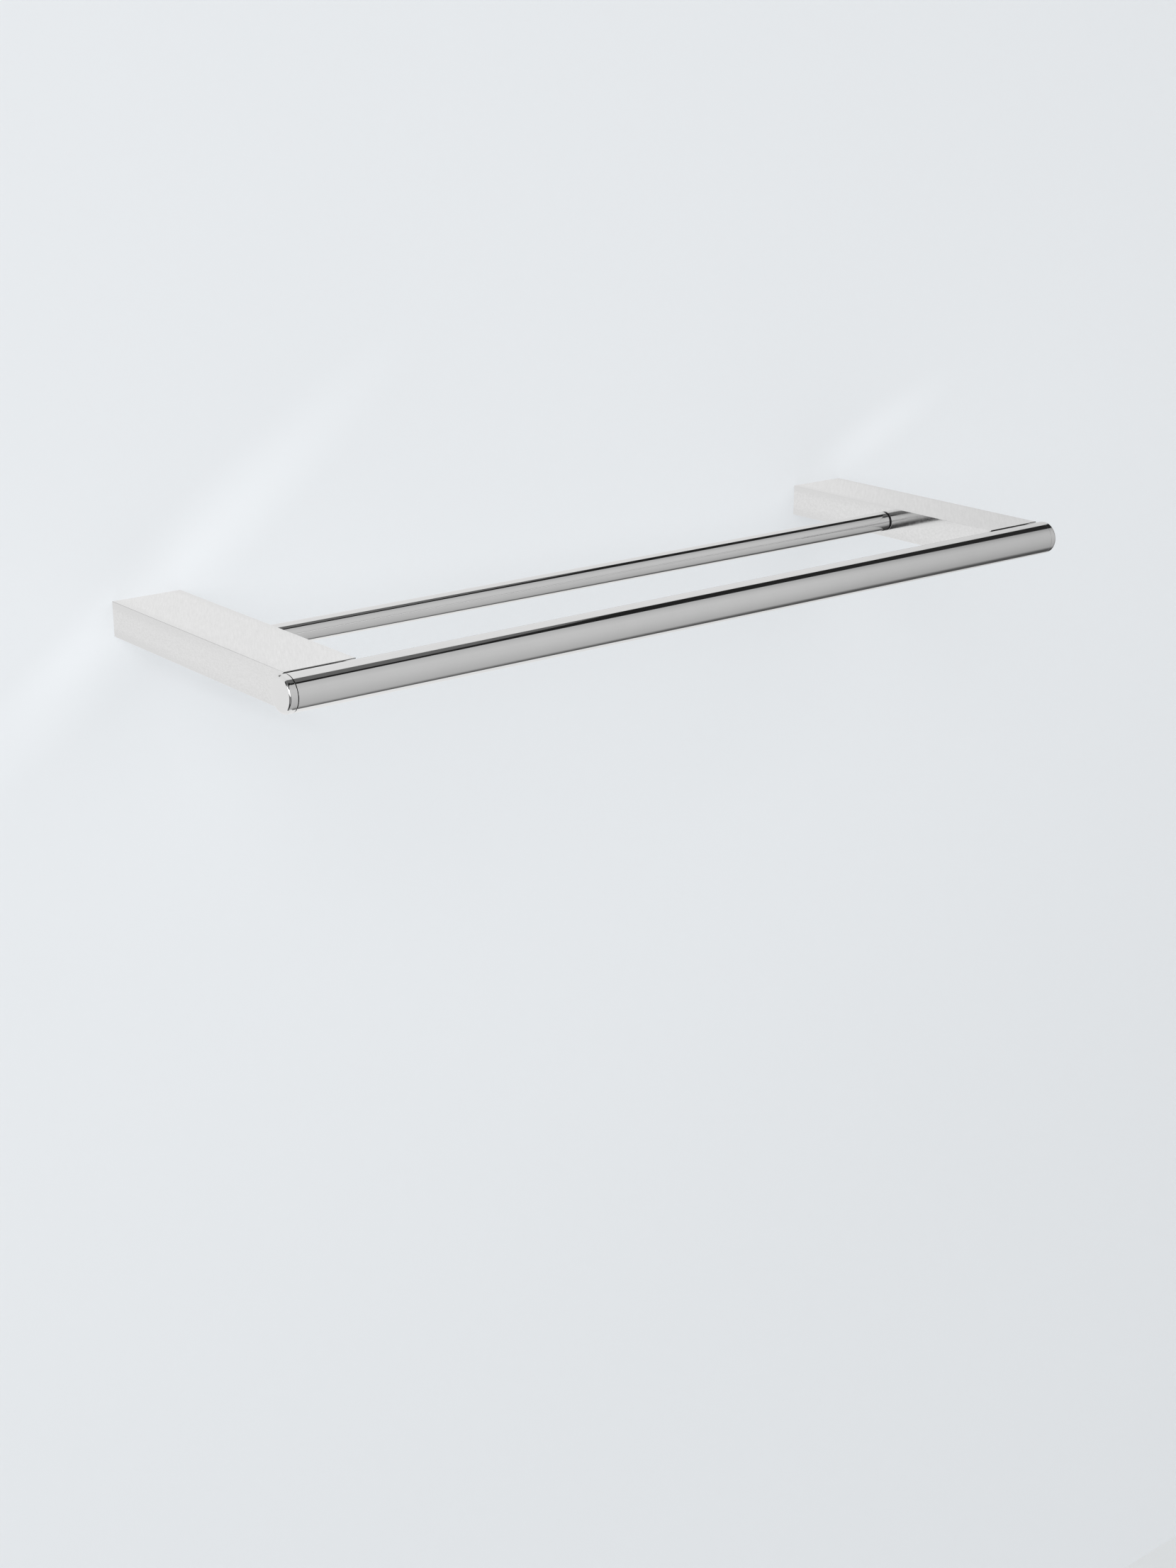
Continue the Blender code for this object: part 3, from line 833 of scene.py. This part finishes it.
class TOWELBAR_OT_end_caps(Operator):
    """Make the turned caps in the front tube's ends"""

    bl_idname = "towel_bar.end_caps"
    bl_label = "End caps"

    def execute(self, context):
        tubes = settings().tubes
        caps = settings().caps
        radius = tubes.front_diameter / 2
        spigot = radius - tubes.front_wall - SEAT_GAP
        groove = spigot - GROOVE_DEPTH
        foot = CAP_REACH - CAP_LENGTH
        quarter = math.pi / 2
        rim = (radius - caps.fillet, CAP_REACH - caps.fillet)
        flange = [(0, CAP_REACH), *arc(rim, caps.fillet, quarter, 0, FILLET_STEPS)]
        shank = [
            (spigot, -GROOVE_INSET),
            (groove, -GROOVE_INSET),
            (groove, -GROOVE_INSET - GROOVE_WIDTH),
            (spigot, -GROOVE_INSET - GROOVE_WIDTH),
            (spigot, foot + SPIGOT_CHAMFER),
            (spigot - SPIGOT_CHAMFER, foot),
            (0, foot),
        ]
        for label, side in SIDES.items():
            name = "cap_" + label
            seam = caps.left_seam if label == "left" else caps.right_seam
            rounded = arc((radius - seam, 2 * seam), seam, 0, -quarter, FILLET_STEPS // 2)
            add_piece(
                name,
                turned(name, flange + rounded + [(spigot, seam)] + shank, tubes.steps),
                "Cap chrome",
                "frame",
                "end_cap_" + label,
                FRONT_AXIS + ALONG_BAR * side * FRONT_LENGTH / 2,
                along(side * ALONG_BAR),
            )
        return {"FINISHED"}


def arm_outline(saddle_radius):
    """Side view of an arm, as (y, z) points: the saddle at one end and the wall at the other."""
    arms = settings().arms
    half_height = ARM_HEIGHT / 2
    slope = math.radians(arms.lip_slope)
    lip = half_height - arms.lip * math.cos(slope)
    opening = math.asin(lip / saddle_radius)
    saddle = arc((FRONT_AXIS.y, 0), saddle_radius, opening, -opening, SADDLE_STEPS)
    shoulder = saddle[0][0] + arms.lip * math.sin(slope)
    return [
        (0, half_height),
        (shoulder, half_height),
        *saddle,
        (shoulder, -half_height),
        (0, -half_height),
    ]


def arm_blank(name, outline):
    """An arm's side view given its width, with soft long edges and crisp saddle edges."""
    arms = settings().arms
    shape = bmesh.new()
    weights = shape.edges.layers.float.new("bevel_weight_edge")
    corners = [shape.verts.new((-ARM_WIDTH / 2, y, z)) for y, z in outline]
    thicken(shape, corners, ALONG_BAR * ARM_WIDTH)
    for edge in shape.edges:
        first, second = (vertex.co for vertex in edge.verts)
        if abs(first.x - second.x) > MERGE_DISTANCE:
            continue
        long_edge = abs(first.y - second.y) > ARM_REACH / 2
        edge[weights] = 1 if long_edge else arms.crisp_share
    blank = new_object(name, mesh_from(shape, name))
    bevel = blank.modifiers.new("Edges", "BEVEL")
    bevel.limit_method = "WEIGHT"
    bevel.width = arms.edge
    bevel.segments = FILLET_STEPS // 2
    return result_of(blank)


class TOWELBAR_OT_arms(Operator):
    """Make the hollow arms with the front tube's saddle across their ends"""

    bl_idname = "towel_bar.arms"
    bl_label = "Arms"

    def execute(self, context):
        tubes = settings().tubes
        arms = settings().arms
        half_width = ARM_WIDTH / 2
        half_height = ARM_HEIGHT / 2
        saddle_radius = tubes.front_diameter / 2 + SEAT_GAP
        hollow_end = -FRONT_AXIS.y - saddle_radius - ARM_WEB
        stud_depth = STUD_LENGTH + SEAT_GAP
        stud_radius = STUD_SHANK / 2 + SEAT_GAP
        boss_half = stud_radius + BOSS_WALL
        boss_depth = stud_depth + BOSS_WALL
        grub = size_of("grub_screw_left").x / 2 + SEAT_GAP
        outline = arm_outline(saddle_radius)
        for label, side in SIDES.items():
            inner = -side * (half_width - arms.wall)
            outer = -inner
            boss = -side * (half_width - boss_depth)
            boss_back = REAR_AXIS.y + boss_half
            boss_front = REAR_AXIS.y - boss_half
            hollow = [
                (inner, OVERRUN),
                (inner, boss_back),
                (boss, boss_back),
                (boss, boss_front),
                (inner, boss_front),
                (inner, -hollow_end),
                (outer, -hollow_end),
                (outer, OVERRUN),
            ]
            screw_hole = rod("screw_hole", SCREW_HOLE, hollow_end - OVERRUN, -FRONT_AXIS.y)
            stud_hole = rod(
                "stud_hole", stud_radius, half_width - stud_depth, half_width + OVERRUN
            )
            grub_hole = rod(
                "grub_hole", grub, -half_height - OVERRUN, arms.wall + OVERRUN - half_height
            )
            stud_place = Matrix.Translation((0, REAR_AXIS.y, 0))
            cutters = [
                (prism("hollow", hollow, ARM_HEIGHT - 2 * arms.wall), Matrix.Identity(4)),
                (screw_hole, turned_to(FROM_WALL)),
                (stud_hole, stud_place @ turned_to(-side * ALONG_BAR)),
                (grub_hole, Matrix.Translation((0, -GRUB_REACH, 0))),
            ]
            name = "arm_casting_" + label
            add_piece(
                name,
                carved(arm_blank(name, outline), cutters),
                "Arm chrome " + label,
                "frame",
                "arm_" + label,
                ALONG_BAR * side * END_CENTRE,
            )
        return {"FINISHED"}


class TOWELBAR_OT_fixings(Operator):
    """Finish the screws, nuts, washers, studs, bushes, rings and plates"""

    bl_idname = "towel_bar.fixings"
    bl_label = "Fixings"

    def execute(self, context):
        finishes = {
            "saddle_nut_": "Nut brass",
            "saddle_screw_": "Screw steel",
            "lock_washer_": "Screw steel",
            "grub_screw_": "Screw steel",
            "rear_stud_": "Stud steel",
            "rear_bush_": "Bush nylon",
            "cap_o_ring_": "Ring rubber",
            "wall_plate_": "Plate zinc",
        }
        for label in SIDES:
            for node, finish in finishes.items():
                dress(node + label, finish)
        return {"FINISHED"}


# Stage


# Patches of light painted into the wall's colour, standing in for light thrown by the polished
# arms, and a patch of painted shade under one: centre in x and z, half length, half width, angle
# in degrees, and how much they brighten it
PAINTED_WALL_PATCHES = (
    ((0.0, -0.1), 1.5, 0.65, 0, 0.034),
    ((-0.26, -0.05), 0.25, 0.22, 0, 0.024),
    ((-0.26, 0.02), 0.25, 0.036, 36.6, 0.072),
    ((-0.31, -0.008), 0.12, 0.022, 31, 0.030),
    ((0.325, 0.036), 0.12, 0.026, 23, 0.055),
    ((-0.222, -0.057), 0.095, 0.014, -30, -0.066),
)


def glow(tree, place, centre, half_length, half_width, angle, gain):
    """A soft oval of painted light on the wall, strongest at its middle; a gain below zero makes
    it painted shade.
    """
    fit = tree.nodes.new("ShaderNodeMapping")
    fit.vector_type = "TEXTURE"
    feed(tree, fit, vector=place, location=(centre[0], 0, centre[1]))
    feed(tree, fit, rotation=(0, -math.radians(angle), 0), scale=(half_length, 1, half_width))
    oval = tree.nodes.new("ShaderNodeTexGradient")
    oval.gradient_type = "SPHERICAL"
    feed(tree, oval, vector=fit.outputs["Vector"])
    soft = tree.nodes.new("ShaderNodeMapRange")
    soft.interpolation_type = "SMOOTHSTEP"
    feed(tree, soft, value=oval.outputs["Fac"], to_max=gain)
    return soft.outputs["Result"]


def mixed_shader(tree, factor, first, second):
    """Two shaders mixed by a mask."""
    node = tree.nodes.new("ShaderNodeMixShader")
    fill(tree, node, factor, first, second)
    return node.outputs["Shader"]


def backdrop(name, colour, evenness, painted_patches=()):
    """A matt surface that shows from its front only, partly evened out for the eye, with any
    painted patches of light and shade in its colour.
    """
    tree, shader, place = new_material(name)
    paint = solid(colour)
    # Painted light and shade: each patch brightens or darkens the surface's colour
    if painted_patches:
        brightness = 1.0
        for patch in painted_patches:
            brightness = maths(tree, "ADD", glow(tree, place, *patch), brightness)
        lit = tree.nodes.new("ShaderNodeVectorMath")
        lit.operation = "SCALE"
        fill(tree, lit, colour)
        feed(tree, lit, scale=brightness)
        paint = lit.outputs["Vector"]
    feed(tree, shader, base_color=paint, roughness=0.9)
    shader.inputs["Specular IOR Level"].default_value = 0.1
    even = tree.nodes.new("ShaderNodeEmission")
    feed(tree, even, color=paint)
    eye = tree.nodes.new("ShaderNodeLightPath").outputs["Is Camera Ray"]
    plain = mixed_shader(
        tree, product(tree, eye, evenness), shader.outputs["BSDF"], even.outputs["Emission"]
    )
    behind = tree.nodes.new("ShaderNodeNewGeometry").outputs["Backfacing"]
    clear = tree.nodes.new("ShaderNodeBsdfTransparent").outputs["BSDF"]
    shown = mixed_shader(tree, behind, plain, clear)
    tree.links.new(shown, tree.nodes["Material Output"].inputs["Surface"])


def panel(name, paint, corners):
    """A flat sheet that faces the side from which its corners run anticlockwise."""
    mesh = bpy.data.meshes.new(name)
    mesh.from_pydata(corners, [], [tuple(range(len(corners)))])
    mesh.materials.append(bpy.data.materials[paint])
    item = new_object(name, mesh)
    item.visible_glossy = False


def soft_light(name, place, power):
    """A large square light on the bar, kept out of the chrome's reflections."""
    data = bpy.data.lights.new(name, "AREA")
    data.shape = "SQUARE"
    data.size = LIGHT_SIZE
    data.energy = power
    light = new_object(name, data)
    light.location = place
    light.rotation_euler = (Vector(place) - LIT_POINT).to_track_quat("Z", "Y").to_euler()
    light.visible_glossy = False
    light.visible_camera = False


# What the chrome reflects, by the direction of the reflection: how far it points right, inward
# to the wall, and up, each from -1 to 1. The room's brightness goes by the angle up from
# straight out of the wall, in degrees, first for most directions and then for the far right.
ROOM_NEAR = ((-90, 0.40), (-60, 0.48), (-30, 0.53), (0, 0.58), (30, 0.60), (60, 0.52), (90, 0.50))
ROOM_FAR = (
    *((-90, 0.33), (-60, 0.39), (-30, 0.46), (0, 0.51)),
    *((30, 0.53), (50, 0.50), (75, 0.35), (90, 0.33)),
)

# How much brighter the room is on the way to the far right, and how bright the wall is, both by
# how far right the reflection points
ROOM_GAIN = ((0.50, 1.01), (0.57, 1.06), (0.67, 1.096), (0.715, 1.044), (0.745, 1.02))
WALL_TONES = (
    *((-1.0, 0.74), (-0.3, 0.75), (0.45, 0.82), (0.69, 0.775), (0.715, 0.722)),
    *((0.745, 0.672), (0.80, 0.65), (0.90, 0.36), (0.93, 0.36), (0.96, 0.62)),
)

# The dark edge between the room and the wall, above the bar and below it: how far inward the
# reflection points where the room ends and where the wall begins, by how far right it points
ROOM_REACH_ABOVE = (
    *((-0.90, -0.60), (-0.75, -0.38), (-0.50, -0.43), (0.00, -0.50), (0.50, -0.40)),
    *((0.54, -0.35), (0.60, -0.265), (0.65, -0.215), (0.70, -0.17), (0.77, -0.16)),
    *((0.86, -0.45), (0.92, -0.45), (0.95, -0.15)),
)
WALL_REACH_ABOVE = (
    *((-0.86, 0.54), (-0.81, 0.42), (-0.73, 0.30), (-0.56, 0.19), (-0.30, 0.08)),
    *((0.30, 0.08), (0.50, 0.14), (0.55, 0.165), (0.60, 0.205), (0.65, 0.235)),
    *((0.70, 0.24), (0.75, 0.285), (0.86, 0.60), (0.92, 0.60), (0.95, 0.18)),
)
ROOM_REACH_BELOW = (
    *((-0.72, -0.60), (-0.62, 0.15), (-0.50, 0.15), (-0.35, -0.20), (0.32, -0.20)),
    *((0.50, -0.12), (0.77, -0.15), (0.86, -0.45), (0.92, -0.45), (0.95, -0.15)),
)
WALL_REACH_BELOW = (
    *((-0.60, 0.50), (-0.45, 0.10), (-0.35, -0.15), (0.32, -0.15), (0.50, 0.095)),
    *((0.57, 0.13), (0.62, 0.165), (0.67, 0.24), (0.72, 0.27), (0.75, 0.32)),
    *((0.86, 0.60), (0.92, 0.60), (0.95, 0.18)),
)

# Where the dark edge's greyer strip begins, in the same way
STRIP_START = ((0.50, -0.25), (0.54, -0.21), (0.57, -0.125), (0.60, 0.0), (0.63, 0.4))

# Tones of the dark edge: above the bar and below it, first for most directions and then for the
# far right; in the greyer strip; below the bar at the two sides; and towards the horizon
TONES_ABOVE = (0.010, 0.022)
TONES_BELOW = (0.13, 0.085)
STRIP_TONE = 0.135
SIDE_TONE = 0.04
HORIZON_TONE = 0.28

# Tones of the lamp on the left, of the posts below and above the bar, and of a post by the lamp
LAMP_TONE = 1.7
POST_TONES = (0.50, 0.68)
LIT_POST_TONE = 0.85


def ramp(tree, value, stops, low=0.0, high=1.0):
    """A number that follows a value through (value, number) stops, all between two limits."""
    first = stops[0][0]
    last = stops[-1][0]
    node = tree.nodes.new("ShaderNodeValToRGB")
    feed(tree, node, fac=spread(tree, value, first, last))
    elements = node.color_ramp.elements
    while len(elements) < len(stops):
        elements.new(0.5)
    for element, (position, number) in zip(elements, stops):
        level = (number - low) / (high - low)
        element.position = (position - first) / (last - first)
        element.color = (level, level, level, 1)
    return spread(tree, node.outputs["Color"], 0.0, 1.0, low, high)


def past(tree, value, edge, softness):
    """A mask that rises softly where a value passes an edge."""
    return spread(tree, maths(tree, "SUBTRACT", value, edge), -softness, softness)


def fading(tree, value, low, high):
    """A mask that falls from 1 to 0 between two limits."""
    return spread(tree, value, low, high, new_low=1.0, new_high=0.0)


def room_field(tree, right, inward, up, far):
    """The room's brightness."""
    lift = maths(tree, "ARCTAN2", up, product(tree, inward, -1.0))
    lift = maths(tree, "DEGREES", lift)
    room = between(tree, far, ramp(tree, lift, ROOM_NEAR), ramp(tree, lift, ROOM_FAR))
    return product(tree, room, ramp(tree, right, ROOM_GAIN, high=2.0))


def wall_field(tree, direction, right, inward, up, far):
    """The wall's brightness: uneven, brighter low on the left, and shaded high on the left."""
    cloudy = noise(tree, direction, scale=22.0, detail=2.0, roughness=0.5)
    clouds = spread(tree, cloudy, *NOISE_RANGE, new_low=0.975, new_high=1.025)
    low_wall = fading(tree, up, low=-0.6, high=0.2)
    low_gain = between(tree, low_wall, 1.0, between(tree, far, low=1.07, high=0.93))
    shaded = product(
        tree,
        past(tree, up, edge=0.35, softness=0.08),
        fading(tree, right, low=0.2, high=0.4),
        past(tree, inward, edge=0.823, softness=0.004),
    )
    shade_left = spread(tree, inward, low=0.82, high=0.87, new_low=0.43, new_high=0.20)
    shade = between(tree, shaded, 1.0, shade_left)
    return product(tree, ramp(tree, right, WALL_TONES), clouds, low_gain, shade)


def edge_field(tree, right, inward, up, far, above, sides):
    """The dark edge's brightness: grey towards the horizon, but for the two sides."""
    strip = past(tree, inward, ramp(tree, right, STRIP_START, low=-1.0), softness=0.02)
    strip = product(tree, strip, past(tree, up, edge=0.5, softness=0.05))
    top = between(tree, strip, between(tree, far, *TONES_ABOVE), STRIP_TONE)
    bottom = between(tree, sides, between(tree, far, *TONES_BELOW), SIDE_TONE)
    level = fading(tree, maths(tree, "ABSOLUTE", up), low=0.25, high=0.45)
    grey = product(tree, level, maths(tree, "SUBTRACT", 1.0, sides))
    return between(tree, grey, between(tree, above, bottom, top), HORIZON_TONE)


def studio_group():
    """The brightness that the chrome sees in each direction."""
    group, start, end = new_group("Studio directions", "Direction", {}, ["Tone"])
    direction = start.outputs["Direction"]
    right, inward, up = axes(group, direction)
    far = spread(group, right, low=0.5, high=0.75)
    above = spread(group, up, low=-0.1, high=0.1)
    left = fading(group, right, low=-0.70, high=-0.60)
    rim_start = spread(group, right, low=0.78, high=0.86)
    rim = product(group, rim_start, fading(group, right, low=0.92, high=0.95))
    sides = maths(group, "ADD", left, rim)

    # The room, then the dark edge, then the wall, from outward to inward
    room_above, room_below, wall_above, wall_below = (
        ramp(group, right, stops, low=-1.0)
        for stops in (ROOM_REACH_ABOVE, ROOM_REACH_BELOW, WALL_REACH_ABOVE, WALL_REACH_BELOW)
    )
    in_edge = between(
        group,
        above,
        past(group, inward, room_below, softness=0.12),
        past(group, inward, room_above, softness=0.015),
    )
    in_wall = past(group, inward, between(group, above, wall_below, wall_above), softness=0.02)
    room = room_field(group, right, inward, up, far)
    edge = edge_field(group, right, inward, up, far, above, sides)
    wall = wall_field(group, direction, right, inward, up, far)
    tone = between(group, in_wall, between(group, in_edge, room, edge), wall)

    # On the left, a lamp level with the bar, and to both sides a pale post straight ahead
    breadth = maths(group, "ABSOLUTE", inward)
    leaning = maths(group, "ADD", up, product(group, inward, 0.25))
    lamp = product(
        group,
        left,
        past(group, up, edge=-0.13, softness=0.02),
        fading(group, leaning, low=0.25, high=0.29),
        fading(group, breadth, low=0.38, high=0.42),
    )
    aside = spread(group, maths(group, "ABSOLUTE", right), low=0.82, high=0.90)
    post = product(group, aside, fading(group, breadth, low=0.09, high=0.15))
    post_tone = between(group, lamp, between(group, above, *POST_TONES), LIT_POST_TONE)
    tone = between(group, post, between(group, lamp, tone, LAMP_TONE), post_tone)
    feed(group, end, tone=tone)
    return group


def build_world(colour, ambient):
    """A pale room to the eye, an even one to matt surfaces, and the studio to the chrome."""
    world = bpy.data.worlds.new("Studio")
    bpy.context.scene.world = world
    world.use_nodes = True
    tree = world.node_tree
    studio = tree.nodes.new("ShaderNodeGroup")
    studio.node_tree = studio_group()
    feed(tree, studio, direction=tree.nodes.new("ShaderNodeTexCoord").outputs["Generated"])
    rays = tree.nodes.new("ShaderNodeLightPath")
    matt = (ambient, ambient, ambient)
    room = tint(tree, rays.outputs["Is Glossy Ray"], matt, studio.outputs["Tone"])
    shown = tint(tree, rays.outputs["Is Camera Ray"], room, colour)
    feed(tree, tree.nodes["Background"], color=shown)


class TOWELBAR_OT_stage(Operator):
    """Make the wall, the floor, the studio's lights and the camera"""

    bl_idname = "towel_bar.stage"
    bl_label = "Stage"

    def execute(self, context):
        stage = settings().stage
        half = STAGE_HALF
        drop = -stage.floor_drop
        top = stage.wall_top
        outline = ((-half, drop), (half, drop), (half, top), (-half, top))
        # The wall's colour carries the painted patches of light and shade
        backdrop("Wall paint", stage.wall_colour, stage.evenness, PAINTED_WALL_PATCHES)
        panel("wall", "Wall paint", [(x, BEHIND, z) for x, z in outline])
        outline = ((-half, -half), (half, -half), (half, half), (-half, half))
        backdrop("Floor paint", stage.floor_colour, stage.evenness)
        panel("floor", "Floor paint", [(x, y, drop) for x, y in outline])
        build_world(stage.wall_colour, stage.ambient)
        soft_light("key_light", KEY_PLACE, stage.key_power)
        soft_light("fill_light", FILL_PLACE, stage.fill_power)

        lens = bpy.data.cameras.new("Camera")
        lens.lens = stage.lens
        camera = new_object("Camera", lens)
        camera.location = stage.camera_place
        camera.rotation_euler = stage.camera_turn
        bpy.context.scene.camera = camera
        bpy.context.scene.view_settings.view_transform = "Standard"
        return {"FINISHED"}


class TOWELBAR_PT_panel(Panel):
    """Lists the bar's settings and the steps that build it"""

    bl_idname = "TOWELBAR_PT_panel"
    bl_label = "Double Towel Bar"
    bl_space_type = "VIEW_3D"
    bl_region_type = "UI"
    bl_category = "Towel Bar"

    def draw(self, context):
        layout = self.layout
        bar = settings()
        for part in bar.__annotations__:
            group = getattr(bar, part)
            box = layout.box()
            box.label(text=part.title())
            for name in group.__annotations__:
                box.prop(group, name)
        for step in STEPS:
            layout.operator(step.bl_idname)


STEPS = (
    TOWELBAR_OT_finishes,
    TOWELBAR_OT_front_tube,
    TOWELBAR_OT_rear_tube,
    TOWELBAR_OT_end_caps,
    TOWELBAR_OT_arms,
    TOWELBAR_OT_fixings,
    TOWELBAR_OT_stage,
)

CLASSES = (
    TubeSettings,
    CapSettings,
    ArmSettings,
    FinishSettings,
    StageSettings,
    TowelBarSettings,
    *STEPS,
    TOWELBAR_PT_panel,
)


def register():
    for item in CLASSES:
        bpy.utils.register_class(item)
    bpy.types.Scene.towel_bar = PointerProperty(type=TowelBarSettings)


def unregister():
    del bpy.types.Scene.towel_bar
    for item in reversed(CLASSES):
        bpy.utils.unregister_class(item)


def main():
    register()
    bpy.ops.towel_bar.finishes()
    bpy.ops.towel_bar.front_tube()
    bpy.ops.towel_bar.rear_tube()
    bpy.ops.towel_bar.end_caps()
    bpy.ops.towel_bar.arms()
    bpy.ops.towel_bar.fixings()
    bpy.ops.towel_bar.stage()


if __name__ == "__main__":
    main()
